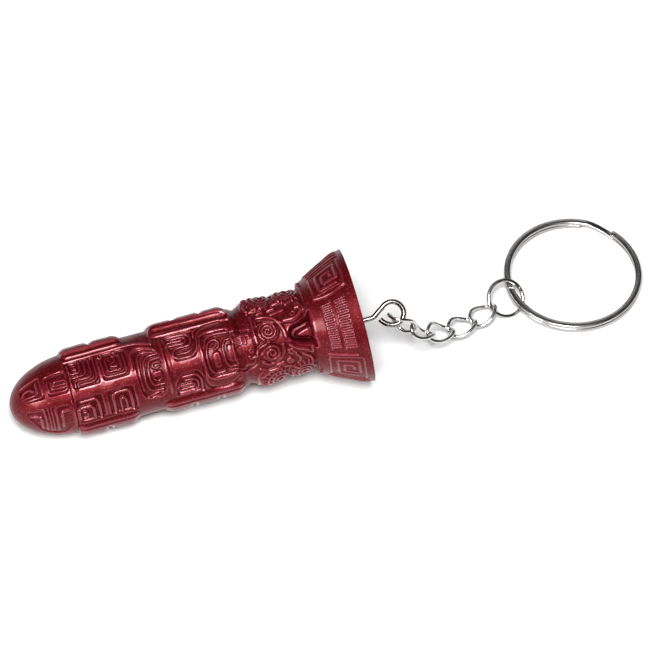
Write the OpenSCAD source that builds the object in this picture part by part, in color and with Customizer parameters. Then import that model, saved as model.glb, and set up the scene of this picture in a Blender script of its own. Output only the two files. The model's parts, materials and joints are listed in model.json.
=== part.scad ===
// Souvenir keychain: a carved bullet-shaped pendant with a flared base, a screw eye,
// five twisted chain links, a jump ring and a double-coil split ring.
// Everything lies on the plane z = 0. The pendant's axis is in the XZ plane, nose to -X.

/* [Pendant] */
// Length from the nose tip to the flat base face
pendant_len = 65; // [55:0.5:80]
// Length of the elliptical nose
nose_len = 12; // [10:0.5:16]
// Outer radius of the carved barrel
barrel_r = 7.3; // [6.8:0.1:8]
// Radius of the flat base face's rim
base_r = 12.35; // [11:0.05:14]
// Depth of the carved fields below the raised bands
field_depth = 0.35; // [0.1:0.05:0.6]
// Height that the side rails stand above the barrel
rail_height = 0.85; // [0.4:0.05:1.4]
// Width of a side rail
rail_w = 3.4; // [2:0.1:5]
// Turn of the carved front about the axis, from straight down
front_turn = 215; // [0:5:355]

/* [Screw eye] */
// Diameter of the eye's wire
eye_wire = 0.95; // [0.8:0.05:1.2]
// Radius of the eye's loop, to the middle of the wire
eye_loop_r = 2.1; // [1.9:0.05:2.6]
// Distance from the base face to the loop's centre
eye_reach = 6.3; // [6:0.1:8]
// Distance of the screw from the pendant's axis
eye_offset = 1.3; // [0:0.1:2]
// Depth of the screw in the base
screw_depth = 9; // [6:0.5:12]

/* [Chain] */
// Diameter of the links' wire
link_wire = 0.62; // [0.5:0.02:0.7]
// Length of a link, to the middle of the wire
link_len = 5.7; // [5.2:0.1:6.4]
// Width of a link, to the middle of the wire
link_w = 4.0; // [3.6:0.1:4.6]
// Twist of a link from end to end
link_twist = -75; // [-90:5:-50]
// Play between a link and the wire it hangs on
link_play = 0.1; // [0.06:0.02:0.12]

/* [Rings] */
// Diameter of the jump ring's wire
jump_wire = 0.7; // [0.6:0.05:0.8]
// Radius of the jump ring, to the middle of the wire
jump_r = 3.3; // [3.1:0.05:3.6]
// Width of the hairline gap where the jump ring is butted
jump_gap = 0.08; // [0.04:0.02:0.2]
// Outer radius of the split ring
split_r = 12.5; // [12:0.25:15]
// Radial width of the split ring's flat wire
split_w = 1.15; // [0.9:0.05:1.3]
// Height of one coil of the split ring
coil_h = 0.74; // [0.6:0.02:0.8]

/* [Hidden] */
$fn = 64;

// Vector helpers
function unit(v) = v / norm(v);
function heading(turn, rise) = [cos(rise) * cos(turn), cos(rise) * sin(turn), sin(rise)];
function level_across(d) = unit(cross([0, 0, 1], d));

// How the pendant lies: on its base rim and on the underside of its nose
run = pendant_len - nose_len;
slope_a = run * run - nose_len * nose_len;
slope_b = 2 * base_r * run;
slope_c = base_r * base_r - barrel_r * barrel_r;
lie_angle = atan((slope_b - sqrt(slope_b * slope_b - 4 * slope_a * slope_c)) / (2 * slope_a));
base_centre = [0, 0, base_r * cos(lie_angle)];
axis_dir = [cos(lie_angle), 0, sin(lie_angle)];
// Directions away from the axis: of the carved front, and of the upper rails
down_dir = [sin(lie_angle), 0, -cos(lie_angle)];
front_dir = cos(front_turn) * down_dir + sin(front_turn) * [0, 1, 0];
rail_dir = sin(front_turn) * down_dir - cos(front_turn) * [0, 1, 0];

// The pendant's stations along its axis, from the nose tip
band_w = 0.9;
band_2_end = 42.4;
waist_s = 43.4;
waist_r = 6.6;
neck_s = 44.6;
neck_r = 7.1;
lip_s = 55.4;
lip_r = 8.4;
mouth_s = 51.5;
mouth_r = 2.6;
mouth_depth = 1.6;
// Side rails: start, end, and the notches between their bumps
rails = [[10.6, 22.4, [16.6]], [27.6, 42.1, [32.4, 37.4]]];
notch_w = 0.7;
notch_depth = 0.35;
// Raised round cartouche frames on the front and the back
cartouches = [[25.4, 3.3], [39.4, 3]];
frame_w = 0.7;

// The screw eye's plane path: along = away from the base, up = towards the upper rails
eye_centre = [eye_reach, -1.4];
eye_bend = 34.7;
eye_bend_r = 1.3;
eye_tip_r = 3;
eye_tip_start = 250;
eye_tip_end = 205;
screw_r = eye_wire / 2;
thread_r = screw_r + 0.14;
thread_pitch = 0.8;
bore_r = screw_r + 0.02;
function eye_point(along, up) = base_centre + along * axis_dir + up * rail_dir;
eye_start_angle = 90 + eye_bend;
eye_touch = eye_centre + eye_loop_r * [cos(eye_start_angle), sin(eye_start_angle)];
eye_rise = eye_touch[1] + eye_offset;
eye_corner = eye_touch[0] - eye_rise / tan(eye_bend);
eye_tangent = eye_bend_r * tan(eye_bend / 2);

// Where chain link 1 hangs: the angle round the loop, and the wire's middle there
hang_angle = -58;
hang_point = eye_point(eye_centre[0] + eye_loop_r * cos(hang_angle),
    eye_centre[1] + eye_loop_r * sin(hang_angle));
// Each link's heading, its rise, and the roll of its first end from level
link_turn = [-28, 16, 16, 18, 32];
link_rise = [-34, -45, -25, -10, -3];
link_roll = [-36, 33, 44, 38, 32];
// The loop's wire crosses link 1 this far from the link's first end, and this far off its middle
hang_along = 2.6;
hang_off = 1.05;
link_pitch = link_len - link_wire - link_play;
link_dir = [for (i = [0:4]) heading(link_turn[i], link_rise[i])];
first_end = hang_point - hang_along * link_dir[0] - hang_off * front_dir;
// The middle of the wire at each link's far end: the next piece hangs there
far_end_1 = first_end + link_len * link_dir[0];
function sum_to(list, n) = n < 0 ? [0, 0, 0] : list[n] + sum_to(list, n - 1);
function far_end(i) = far_end_1 + link_pitch * (sum_to(link_dir, i) - link_dir[0]);
function near_end(i) = far_end(i) - link_len * link_dir[i];

// Sweep resolution of the links and of the split ring
link_rings = 48;
link_sides = 12;
coil_steps = 72;

// Jump ring: lean of its plane and where the lean points
jump_lean = 36;
jump_lean_turn = -70;
// Heading from the last link to the jump ring's middle, and where the ring is butted
jump_out_turn = 17;
jump_gap_turn = 100;

// Split ring: gap between its coils, how it leans, and its jog from one coil to the other
coil_gap = 0.05;
split_h = 2 * coil_h + coil_gap;
split_mid_r = split_r - split_w / 2;
split_reach = 13.5;
split_lean = 3.2;
split_lean_turn = 10.7;
jog_turn = 56;
jog_span = 24;
jog_clear = 2;
split_corner = 0.2;

// Profile of the turned body: [station from the nose, radius]
field_r = barrel_r - field_depth;
ramp = 0.25;
nose_steps = 14;
nose_points = [for (i = [0:nose_steps]) let (t = 90 * i / nose_steps)
    [nose_len * (1 - cos(t)), barrel_r * sin(t)]];
groove_points = [[nose_len + 0.3, barrel_r], [nose_len + 0.5, field_r - 0.1],
    [nose_len + 0.8, field_r - 0.1], [nose_len + 1, barrel_r]];
// A raised band with a carved field after it, from one station to the next band's
function band_then_field(s, next) = [[s, barrel_r], [s + band_w, barrel_r],
    [s + band_w + ramp, field_r], [next - ramp, field_r]];
barrel_points = concat(band_then_field(nose_len + 1.2, 22.4), band_then_field(22.4, 27.6),
    band_then_field(27.6, band_2_end - band_w), [[band_2_end - band_w, barrel_r], [band_2_end, barrel_r]]);
neck_points = [[waist_s, waist_r], [neck_s, neck_r], [lip_s - 1.2, neck_r], [lip_s - 0.5, neck_r + 0.3],
    [lip_s, neck_r + 0.9], [lip_s + 0.9, lip_r], [lip_s + 2, lip_r + 0.9]];
flare_steps = 6;
flare_start = lip_s + 2;
flare_points = [for (i = [1:flare_steps]) let (t = i / flare_steps)
    [flare_start + t * (pendant_len - flare_start),
     lip_r + 0.9 + (base_r - lip_r - 0.9) * sin(90 * t) * 0.45 + (base_r - lip_r - 0.9) * t * 0.55]];
body_points = concat(nose_points, groove_points, barrel_points, neck_points, flare_points, [[pendant_len, 0]]);

// Puts children drawn about +Z, base face at z = 0 and front at +X, where the pendant lies
module on_pendant_axis() {
    translate(base_centre) rotate([0, 90 - lie_angle, 0]) rotate([0, 0, front_turn]) children();
}

// Everything is moved so that the middle of its box stands at the origin
module laid_out() {
    translate(-box_middle) children();
}

// A side rail on the +Y side: a bar with a rounded top, and notches between its bumps
module side_rail(rail) {
    length = rail[1] - rail[0];
    translate([0, 0, rail[0] - pendant_len])
    difference() {
        intersection() {
            translate([-rail_w / 2, barrel_r - 1.6, 0]) cube([rail_w, 1.6 + rail_height, length]);
            cylinder(r = barrel_r + rail_height, h = length);
        }
        for (s = rail[2]) {
            translate([-rail_w, barrel_r + rail_height - notch_depth, s - rail[0]])
                cube([2 * rail_w, 1, notch_w]);
        }
    }
}

// A raised round frame on the +X side, its face following the barrel
module cartouche(s, r) {
    translate([0, 0, s - pendant_len])
    intersection() {
        rotate([0, 90, 0]) difference() {
            cylinder(r = r, h = 2 * barrel_r);
            translate([0, 0, -1]) cylinder(r = r - frame_w, h = 2 * barrel_r + 2);
        }
        translate([0, 0, -r - 1]) cylinder(r = barrel_r, h = 2 * r + 2);
    }
}

module pendant() {
    color("#8e1c31") laid_out() on_pendant_axis() difference() {
        union() {
            translate([0, 0, -pendant_len]) rotate_extrude() polygon([for (p = body_points) [p[1], p[0]]]);
            for (rail = rails) {
                side_rail(rail);
                rotate([0, 0, 180]) side_rail(rail);
            }
            for (c = cartouches) {
                cartouche(c[0], c[1]);
                rotate([0, 0, 180]) cartouche(c[0], c[1]);
            }
        }
        // The deep recess in the front of the neck
        translate([neck_r - mouth_depth, 0, mouth_s - pendant_len]) rotate([0, 90, 0])
            cylinder(r = mouth_r, h = 4);
        // Pilot bore for the screw
        translate([0, eye_offset, -screw_depth - 0.5]) cylinder(r = bore_r, h = screw_depth + 1);
    }
}

// Draws in the eye's plane: X away from the base, Y towards the upper rails
module in_eye_plane() {
    on_pendant_axis() rotate([180, -90, 0]) children();
}

// A straight piece of the eye's wire from one plane point towards an angle
module wire_run(from, angle, length) {
    translate([from[0], from[1], 0]) rotate([0, 0, angle]) rotate([0, 90, 0])
        cylinder(r = eye_wire / 2, h = length);
}

// A bend of the eye's wire round a plane point
module wire_bend(middle, r, start, angle) {
    translate([middle[0], middle[1], 0]) rotate([0, 0, start]) rotate_extrude(angle = angle)
        translate([r, 0]) circle(d = eye_wire, $fn = 32);
}

// Thread crests, as rings round the buried shank
module thread() {
    for (s = [thread_pitch : thread_pitch : screw_depth - 1]) {
        translate([-s, -eye_offset, 0]) rotate([0, 90, 0]) {
            cylinder(r1 = screw_r, r2 = thread_r, h = thread_pitch * 0.3);
            translate([0, 0, thread_pitch * 0.3])
                cylinder(r1 = thread_r, r2 = screw_r, h = thread_pitch * 0.3);
        }
    }
}

module screw_eye() {
    bend_middle = [eye_corner - eye_tangent, eye_bend_r - eye_offset];
    rise_from = [eye_corner, -eye_offset] + eye_tangent * [cos(eye_bend), sin(eye_bend)];
    tip_middle = eye_centre + (eye_loop_r - eye_tip_r) * [cos(eye_tip_start), sin(eye_tip_start)];
    color("#b9b7b4") laid_out() in_eye_plane() {
        wire_run([-screw_depth, -eye_offset], 0, screw_depth + eye_corner - eye_tangent);
        wire_bend(bend_middle, eye_bend_r, -90, eye_bend);
        wire_run(rise_from, eye_bend, norm(eye_touch - rise_from));
        wire_bend(eye_centre, eye_loop_r, eye_tip_start - 360, eye_start_angle + 360 - eye_tip_start);
        wire_bend(tip_middle, eye_tip_r, eye_tip_end, eye_tip_start - eye_tip_end);
        thread();
    }
}

// A closed tube: rings of points round a closed path, joined by quads
function ring_point(c, u, v, r, k) = c + r * (cos(360 * k / link_sides) * u + sin(360 * k / link_sides) * v);

// Middle of a link's wire at angle t: an ellipse whose width turns about its length
function link_roll_at(roll, t) = roll + link_twist * (1 - cos(t)) / 2;
function link_middle(d, roll, t) = let (
        side = level_across(d),
        top = cross(d, side),
        a = link_roll_at(roll, t))
    (1 - cos(t)) / 2 * link_len * d + sin(t) * link_w / 2 * (cos(a) * side + sin(a) * top);
function link_face(d, roll, t) = let (side = level_across(d), a = link_roll_at(roll, t))
    cos(a) * cross(d, side) - sin(a) * side;

// One twisted link from its first end, along d
module chain_link(i) {
    d = link_dir[i];
    roll = link_roll[i];
    points = [for (n = [0:link_rings - 1]) let (
            t = 360 * n / link_rings,
            along = unit(link_middle(d, roll, t + 1) - link_middle(d, roll, t - 1)),
            u = unit(link_face(d, roll, t) - (link_face(d, roll, t) * along) * along),
            v = cross(along, u))
        for (k = [0:link_sides - 1])
            near_end(i) + ring_point(link_middle(d, roll, t), u, v, link_wire / 2, k)];
    quads = [for (n = [0:link_rings - 1]) for (k = [0:link_sides - 1]) let (
            m = (n + 1) % link_rings,
            j = (k + 1) % link_sides)
        [n * link_sides + k, m * link_sides + k, m * link_sides + j, n * link_sides + j]];
    color("#c9c9cb") laid_out() polyhedron(points, quads, convexity = 6);
}

// The jump ring lies on the table at its lowest side and holds the last link's far end
jump_normal = [sin(jump_lean) * cos(jump_lean_turn), sin(jump_lean) * sin(jump_lean_turn), cos(jump_lean)];
jump_heading = heading(jump_out_turn, 0);
jump_across = unit(jump_heading - (jump_heading * jump_normal) * jump_normal);
jump_hold = far_end(4) - ((jump_wire + link_wire) / 2 + link_play) * link_dir[4];
jump_flat = jump_hold + jump_r * jump_across;
jump_centre = [jump_flat[0], jump_flat[1], jump_r * sin(jump_lean) + jump_wire / 2];

module jump_ring() {
    gap_angle = 2 * asin(jump_gap / 2 / jump_r);
    color("#c4c4c6") laid_out() translate(jump_centre) rotate([0, jump_lean, jump_lean_turn])
        rotate([0, 0, jump_gap_turn]) rotate_extrude(angle = 360 - gap_angle)
            translate([jump_r, 0]) circle(d = jump_wire, $fn = 32);
}

// The split ring rests on the table at its far side and on the jump ring at its near side
split_centre = [jump_centre[0], jump_centre[1], 0] + split_reach * heading(split_lean_turn, 0)
    + [0, 0, split_h / 2 * cos(split_lean) + split_r * sin(split_lean)];

// Height of the wire's middle along its two turns: low, over the jog, high
coil_rise = coil_h + coil_gap;
function smooth(x) = let (t = min(max(x, 0), 1)) t * t * (3 - 2 * t);
function coil_z(a) = -coil_rise / 2 + coil_rise * smooth((a - coil_len + jog_span / 2) / jog_span);
coil_len = 360 - jog_span / 2 - jog_clear;
coil_turns = 2 * coil_len;
section = [for (c = [[1, 1, 0], [-1, 1, 90], [-1, -1, 180], [1, -1, 270]]) for (a = [0, 45, 90])
    [c[0] * (split_w / 2 - split_corner) + split_corner * cos(c[2] + a),
     c[1] * (coil_h / 2 - split_corner) + split_corner * sin(c[2] + a)]];

module split_ring() {
    steps = 2 * coil_steps;
    count = len(section);
    points = [for (n = [0:steps]) let (a = coil_turns * n / steps) for (p = section)
        [(split_mid_r + p[0]) * cos(a), (split_mid_r + p[0]) * sin(a), coil_z(a) + p[1]]];
    quads = [for (n = [0:steps - 1]) for (k = [0:count - 1]) let (j = (k + 1) % count)
        [n * count + k, n * count + j, (n + 1) * count + j, (n + 1) * count + k]];
    caps = [[for (k = [count - 1:-1:0]) k], [for (k = [0:count - 1]) steps * count + k]];
    color("#bdbdbf") laid_out() translate(split_centre)
        rotate([0, 0, split_lean_turn]) rotate([0, split_lean, 0])
        rotate([0, 0, jog_turn]) polyhedron(points, concat(quads, caps), convexity = 8);
}

// Middle of the whole keychain's box in plan, which becomes the origin
box_middle = [(split_centre[0] + split_r * cos(split_lean) - pendant_len * cos(lie_angle)) / 2,
    (split_centre[1] + split_r - base_r) / 2, 0];

pendant();
screw_eye();
chain_link(0);  // chain_link_1
chain_link(1);  // chain_link_2
chain_link(2);  // chain_link_3
chain_link(3);  // chain_link_4
chain_link(4);  // chain_link_5
jump_ring();
split_ring();
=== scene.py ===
"""A souvenir keychain: a carved crimson pendant, a screw eye, five twisted links, a jump ring
and a split ring. The carving is a height field on the pendant's turned body. All metal is
round or flat wire carried along its path. Lengths are in millimetres until a mesh is made."""

import json
import bpy
import numpy as np
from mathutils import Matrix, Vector


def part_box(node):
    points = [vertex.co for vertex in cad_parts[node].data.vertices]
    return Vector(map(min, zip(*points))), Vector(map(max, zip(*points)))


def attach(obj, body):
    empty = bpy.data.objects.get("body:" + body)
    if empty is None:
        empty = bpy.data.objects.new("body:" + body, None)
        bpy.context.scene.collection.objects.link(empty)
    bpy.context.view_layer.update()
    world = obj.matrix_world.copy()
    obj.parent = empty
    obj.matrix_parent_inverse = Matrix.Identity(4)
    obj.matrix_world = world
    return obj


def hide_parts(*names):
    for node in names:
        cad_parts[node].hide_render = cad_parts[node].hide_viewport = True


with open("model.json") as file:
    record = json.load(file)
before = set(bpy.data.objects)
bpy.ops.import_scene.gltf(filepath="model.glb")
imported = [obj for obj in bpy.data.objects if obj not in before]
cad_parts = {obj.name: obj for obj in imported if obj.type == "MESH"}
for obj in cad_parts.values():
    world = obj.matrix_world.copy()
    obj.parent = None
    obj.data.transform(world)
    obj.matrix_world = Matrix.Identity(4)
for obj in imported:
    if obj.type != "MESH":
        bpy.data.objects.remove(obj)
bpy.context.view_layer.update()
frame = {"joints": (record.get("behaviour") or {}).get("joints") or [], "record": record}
MM = 0.001

# Driving sizes of the pendant, and how it lies on its rim and on the underside of its nose. The
# carving stays a hair off the floor, and the nose a hair short, to keep inside the CAD's box.
PENDANT_LEN = 65.0
NOSE_LEN = 12.0
BARREL_R = 7.3
BASE_R = 12.35
LIE_ANGLE = np.radians(5.3507)
FRONT_TURN = np.radians(215.0)
QUARTER_GIRTH = np.pi * BARREL_R / 2
FLOOR_GAP = 0.02
NOSE_REACH = NOSE_LEN - 0.025

pendant_low, pendant_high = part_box("pendant")
BASE_CENTRE = np.array([
    pendant_high.x / MM - BASE_R * np.sin(LIE_ANGLE),
    (pendant_low.y + pendant_high.y) / 2 / MM,
    BASE_R * np.cos(LIE_ANGLE),
])
AXIS = np.array([np.cos(LIE_ANGLE), 0.0, np.sin(LIE_ANGLE)])
DOWN = np.array([np.sin(LIE_ANGLE), 0.0, -np.cos(LIE_ANGLE)])
ACROSS = np.array([0.0, 1.0, 0.0])
FRONT = np.cos(FRONT_TURN) * DOWN + np.sin(FRONT_TURN) * ACROSS
RAIL = np.sin(FRONT_TURN) * DOWN - np.cos(FRONT_TURN) * ACROSS


# ---------------------------------------------------------------- meshes

def unit(v):
    """Vectors scaled to length one, along the last axis."""
    v = np.asarray(v, float)
    return v / np.linalg.norm(v, axis=-1, keepdims=True)


def make_piece(name, points, faces, sharp=None, recess=None):
    """A mesh object from points in mm and faces that are quads or triangles. Faces are turned
    outwards by the sign of the volume they enclose. recess is a value at each point."""
    quads = faces[faces[:, 3] >= 0]
    fans = faces[faces[:, 3] < 0][:, :3]
    triangles = np.concatenate([quads[:, [0, 1, 2]], quads[:, [0, 2, 3]], fans])
    corner = points[triangles]
    volume = np.einsum("ij,ij->i", corner[:, 0], np.cross(corner[:, 1], corner[:, 2])).sum()
    if volume < 0:
        quads, fans = quads[:, ::-1], fans[:, ::-1]
    mesh = bpy.data.meshes.new(name)
    mesh.vertices.add(len(points))
    mesh.vertices.foreach_set("co", (points * MM).astype(np.float32).ravel())
    loops = np.concatenate([quads.ravel(), fans.ravel()])
    sizes = np.concatenate([np.full(len(quads), 4), np.full(len(fans), 3)])
    mesh.loops.add(len(loops))
    mesh.loops.foreach_set("vertex_index", loops.astype(np.int32))
    mesh.polygons.add(len(sizes))
    mesh.polygons.foreach_set("loop_start", (np.cumsum(sizes) - sizes).astype(np.int32))
    mesh.update(calc_edges=True)
    smooth = np.ones(len(sizes), bool)
    if sharp is not None:
        smooth = ~np.concatenate([sharp[faces[:, 3] >= 0], sharp[faces[:, 3] < 0]])
    mesh.polygons.foreach_set("use_smooth", smooth)
    if recess is not None:
        mesh.attributes.new("recess", "FLOAT", "POINT").data.foreach_set(
            "value", recess.astype(np.float32))
    mesh.validate()
    piece = bpy.data.objects.new(name, mesh)
    bpy.context.scene.collection.objects.link(piece)
    return piece


def grid_faces(rows, columns, loop_rows=False):
    """Quads of a grid whose columns close on themselves, and whose rows may close too. Where the
    rows are open, a fan of triangles to one more point closes each end."""
    last = rows if loop_rows else rows - 1
    i, j = np.meshgrid(np.arange(last), np.arange(columns), indexing="ij")
    i, j = i.ravel(), j.ravel()
    m, n = (i + 1) % rows, (j + 1) % columns
    quads = np.stack([i * columns + j, m * columns + j, m * columns + n, i * columns + n], 1)
    if loop_rows:
        return quads
    k = np.arange(columns)
    after = (k + 1) % columns
    none = np.full(columns, -1)
    start = np.stack([np.full(columns, rows * columns), k, after, none], 1)
    end = np.stack([np.full(columns, rows * columns + 1), (rows - 1) * columns + after,
                    (rows - 1) * columns + k, none], 1)
    return np.concatenate([quads, start, end])


def tube(name, path, across, radius, sides=24, closed=False):
    """A round wire: at each point of the path, a circle of that radius in the plane of two
    directions, across made square to the path, and the cross product of the path with it."""
    path = np.asarray(path, float)
    if closed:
        along = unit(np.roll(path, -1, 0) - np.roll(path, 1, 0))
    else:
        along = unit(np.gradient(path, axis=0))
    across = np.broadcast_to(across, path.shape)
    u = unit(across - (across * along).sum(1, keepdims=True) * along)
    v = np.cross(along, u)
    turn = 2 * np.pi * np.arange(sides) / sides
    ring = np.cos(turn)[None, :, None] * u[:, None] + np.sin(turn)[None, :, None] * v[:, None]
    radius = np.broadcast_to(radius, len(path))
    points = (path[:, None] + radius[:, None, None] * ring).reshape(-1, 3)
    if not closed:
        points = np.concatenate([points, path[:1], path[-1:]])
    return make_piece(name, points, grid_faces(len(path), sides, closed))


def rounded_ends(path, radius, bevel):
    """Adds rings at both ends of a path, so that the wire's cut ends have a rounded edge: the
    radius falls as the sine of an angle while the path runs on as its cosine. Returns both."""
    steps = np.radians(np.linspace(0, 90, 6))[:-1]
    first, last = unit(path[0] - path[1]), unit(path[-1] - path[-2])
    reach = bevel * np.sin(steps)
    shrink = radius - bevel + bevel * np.cos(steps)
    head = path[0] - bevel * first + reach[:, None] * first
    tail = path[-1] - bevel * last + reach[:, None] * last
    inner = path[(np.linalg.norm(path - path[0], axis=1) > bevel)
                 & (np.linalg.norm(path - path[-1], axis=1) > bevel)]
    radii = np.concatenate([shrink[::-1], np.full(len(inner), radius), shrink])
    return np.concatenate([head[::-1], inner, tail]), radii


def stand_for(piece, node, body):
    """The piece takes the place of a node and moves with a body."""
    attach(piece, body)
    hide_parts(node)
    return piece


# ---------------------------------------------------------------- lines of the carving
# A line of the carving is given in mm: the station from the nose tip, and the arc round the
# barrel from the front, positive towards the upper rail. Half a turn of it repeats on the back.

def bent(points, corner=0.6, closed=False, steps=6):
    """A line through a few points, with each corner replaced by a curve between two points at
    most corner away from it: (1-t)^2 times the first, 2t(1-t) times the corner, t^2 the last."""
    p = np.asarray(points, float)
    if closed:
        p = np.concatenate([p[-1:], p, p[:1]])
    before, here, after = p[:-2], p[1:-1], p[2:]
    reach_in = np.minimum(corner / np.linalg.norm(before - here, axis=1), 0.49)[:, None]
    reach_out = np.minimum(corner / np.linalg.norm(after - here, axis=1), 0.49)[:, None]
    first = here + reach_in * (before - here)
    last = here + reach_out * (after - here)
    t = np.linspace(0, 1, steps)[None, :, None]
    curve = (1 - t) ** 2 * first[:, None] + 2 * t * (1 - t) * here[:, None] + t ** 2 * last[:, None]
    curve = curve.reshape(-1, 2)
    if closed:
        return np.concatenate([curve, curve[:1]])
    return np.concatenate([p[:1], curve, p[-1:]])


def swirl(s, a, inner, outer, start, turns, steps=14):
    """A spiral line round (s, a) whose radius grows evenly with its angle."""
    t = np.linspace(0, 1, int(steps * turns) + 2)
    angle = np.radians(start) + 2 * np.pi * turns * t
    radius = inner + (outer - inner) * t
    return np.stack([s + radius * np.cos(angle), a + radius * np.sin(angle)], 1)


def ring(s, a, radius):
    """A circle round (s, a)."""
    return swirl(s, a, radius, radius, 0, 1)


def box_line(s0, s1, a0, a1, corner):
    """The outline of a rounded rectangle."""
    return bent([(s0, a0), (s1, a0), (s1, a1), (s0, a1)], corner, closed=True)


def meander(s0, s1, a0, a1, teeth):
    """A square wave between two stations, running round the barrel."""
    a = np.linspace(a0, a1, 2 * teeth + 1).repeat(2)[1:-1]
    s = np.tile([s0, s0, s1, s1], teeth)[:len(a)]
    return np.stack([s, a], 1)


def line_distance(line, s, a, squeeze):
    """Distance from points to a line of straight pieces, with arcs measured at the points' own
    radius. Each piece's nearest point is the foot of the perpendicular, kept between its ends."""
    start, step = line[:-1], np.diff(line, axis=0)
    ds, da = s[:, None] - start[:, 0], (a[:, None] - start[:, 1]) * squeeze[:, None]
    step_a = step[:, 1] * squeeze[:, None]
    share = (ds * step[:, 0] + da * step_a) / np.maximum(step[:, 0] ** 2 + step_a ** 2, 1e-9)
    share = np.clip(share, 0, 1)
    return np.sqrt(((ds - share * step[:, 0]) ** 2 + (da - share * step_a) ** 2).min(1))


def inside(line, s, a):
    """True where a point is inside a closed line: a ray from it crosses the line an odd number
    of times."""
    s0, a0, s1, a1 = line[:-1, 0], line[:-1, 1], line[1:, 0], line[1:, 1]
    spans = (a0 > a[:, None]) != (a1 > a[:, None])
    slope = (s1 - s0) / np.where(np.abs(a1 - a0) < 1e-9, 1e-9, a1 - a0)
    crosses = spans & (s[:, None] < s0 + slope * (a[:, None] - a0))
    return crosses.sum(1) % 2 == 1


def ease(x):
    """0 below 0, 1 above 1, and 3x^2 - 2x^3 between."""
    x = np.clip(x, 0, 1)
    return x * x * (3 - 2 * x)


# ---------------------------------------------------------------- the carving's pieces
# A recessed field's depth and how far in from its outline that is reached, how far a ridge's foot
# spreads, and a usual ridge's half width and height
FIELD_DEPTH = 0.36
FIELD_SOFT = 0.3
EDGE = 0.09
RIDGE_W = 0.185
RIDGE_H = 0.43

# Recessed fields: outline, depth, and how far in the depth is reached
FIELDS = [
    (box_line(2.0, 6.35, 0.1, 5.4, 0.8), FIELD_DEPTH, FIELD_SOFT),
    (box_line(6.75, 10.75, 0.15, 4.6, 0.8), FIELD_DEPTH, FIELD_SOFT),
    (bent([(2.2, -1.4), (10.6, -1.4), (10.7, -6.6), (8.2, -9.6), (4.6, -9.0), (2.3, -4.5)], 1.4,
          closed=True), 0.26, 0.7),
    (box_line(11.45, 16.75, 0.25, 5.95, 0.7), FIELD_DEPTH, FIELD_SOFT),
    (box_line(17.15, 22.3, 0.3, 5.95, 0.9), FIELD_DEPTH, FIELD_SOFT),
    (box_line(11.1, 16.3, -6.45, -1.45, 0.7), FIELD_DEPTH, FIELD_SOFT),
    (box_line(17.1, 22.2, -6.45, -1.4, 0.7), FIELD_DEPTH, FIELD_SOFT),
    (bent([(23.2, 3.9), (24.4, 4.7), (27.4, 3.9), (28.35, 2.0), (28.35, -3.0), (27.3, -5.4),
           (24.4, -5.6), (23.3, -3.6)], 0.9, closed=True), FIELD_DEPTH, FIELD_SOFT),
    (bent([(29.3, 6.0), (29.9, 2.6), (30.6, 0.3), (34.6, 0.3), (35.3, 2.6), (34.9, 6.0)], 0.8,
          closed=True), FIELD_DEPTH, FIELD_SOFT),
    (bent([(29.3, -6.6), (29.7, -3.6), (31.0, -1.9), (34.2, -1.9), (35.0, -3.6), (34.9, -6.6)], 0.8,
          closed=True), FIELD_DEPTH, FIELD_SOFT),
    (box_line(35.75, 41.3, -4.5, 4.1, 1.2), FIELD_DEPTH, FIELD_SOFT),
]

# Ridges: line, half width, height above the ground they stand on
NOSE_RIDGES = [
    (bent([(2.2, 1.5), (2.2, 0.75), (5.9, 0.75), (6.0, 4.8)], 0.6), RIDGE_W, RIDGE_H),
    (bent([(2.4, 1.65), (5.1, 1.65), (5.25, 4.3)], 0.5), RIDGE_W, RIDGE_H),
    (bent([(2.4, 2.5), (2.8, 3.5), (4.0, 3.6), (4.5, 2.6)], 0.6), RIDGE_W, RIDGE_H),
    (bent([(7.05, 3.0), (7.1, 0.9), (10.3, 0.65), (10.6, 1.4)], 0.6), RIDGE_W, RIDGE_H),
    (bent([(7.8, 3.0), (7.85, 1.55), (10.3, 1.3), (10.55, 2.0)], 0.5), RIDGE_W, RIDGE_H),
    (bent([(8.2, 2.1), (8.3, 2.95), (10.5, 2.7), (10.4, 1.95)], 0.4, closed=True), 0.18, RIDGE_H),
    (bent([(5.5, 5.4), (5.7, 7.4)]), 0.2, 0.12),
    (bent([(6.5, 4.6), (6.6, 7.6)]), 0.2, 0.12),
    (bent([(7.5, 4.9), (7.6, 7.2)]), 0.2, 0.12),
    (bent([(2.4, -2.1), (5.5, -2.1), (5.6, -7.8)], 0.7), 0.25, 0.26),
    (bent([(3.0, -3.8), (4.7, -3.8), (4.75, -7.4)], 0.6), 0.22, 0.26),
    (bent([(6.2, -1.5), (6.2, -8.0)]), 0.15, 0.26),
    (bent([(6.75, -1.5), (6.75, -8.0)]), 0.15, 0.26),
    (bent([(10.4, -1.75), (7.45, -1.8), (7.4, -7.8)], 1.0), 0.28, 0.26),
    (bent([(10.3, -3.0), (8.45, -3.1), (8.4, -6.8)], 0.8), 0.24, 0.26),
]
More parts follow.
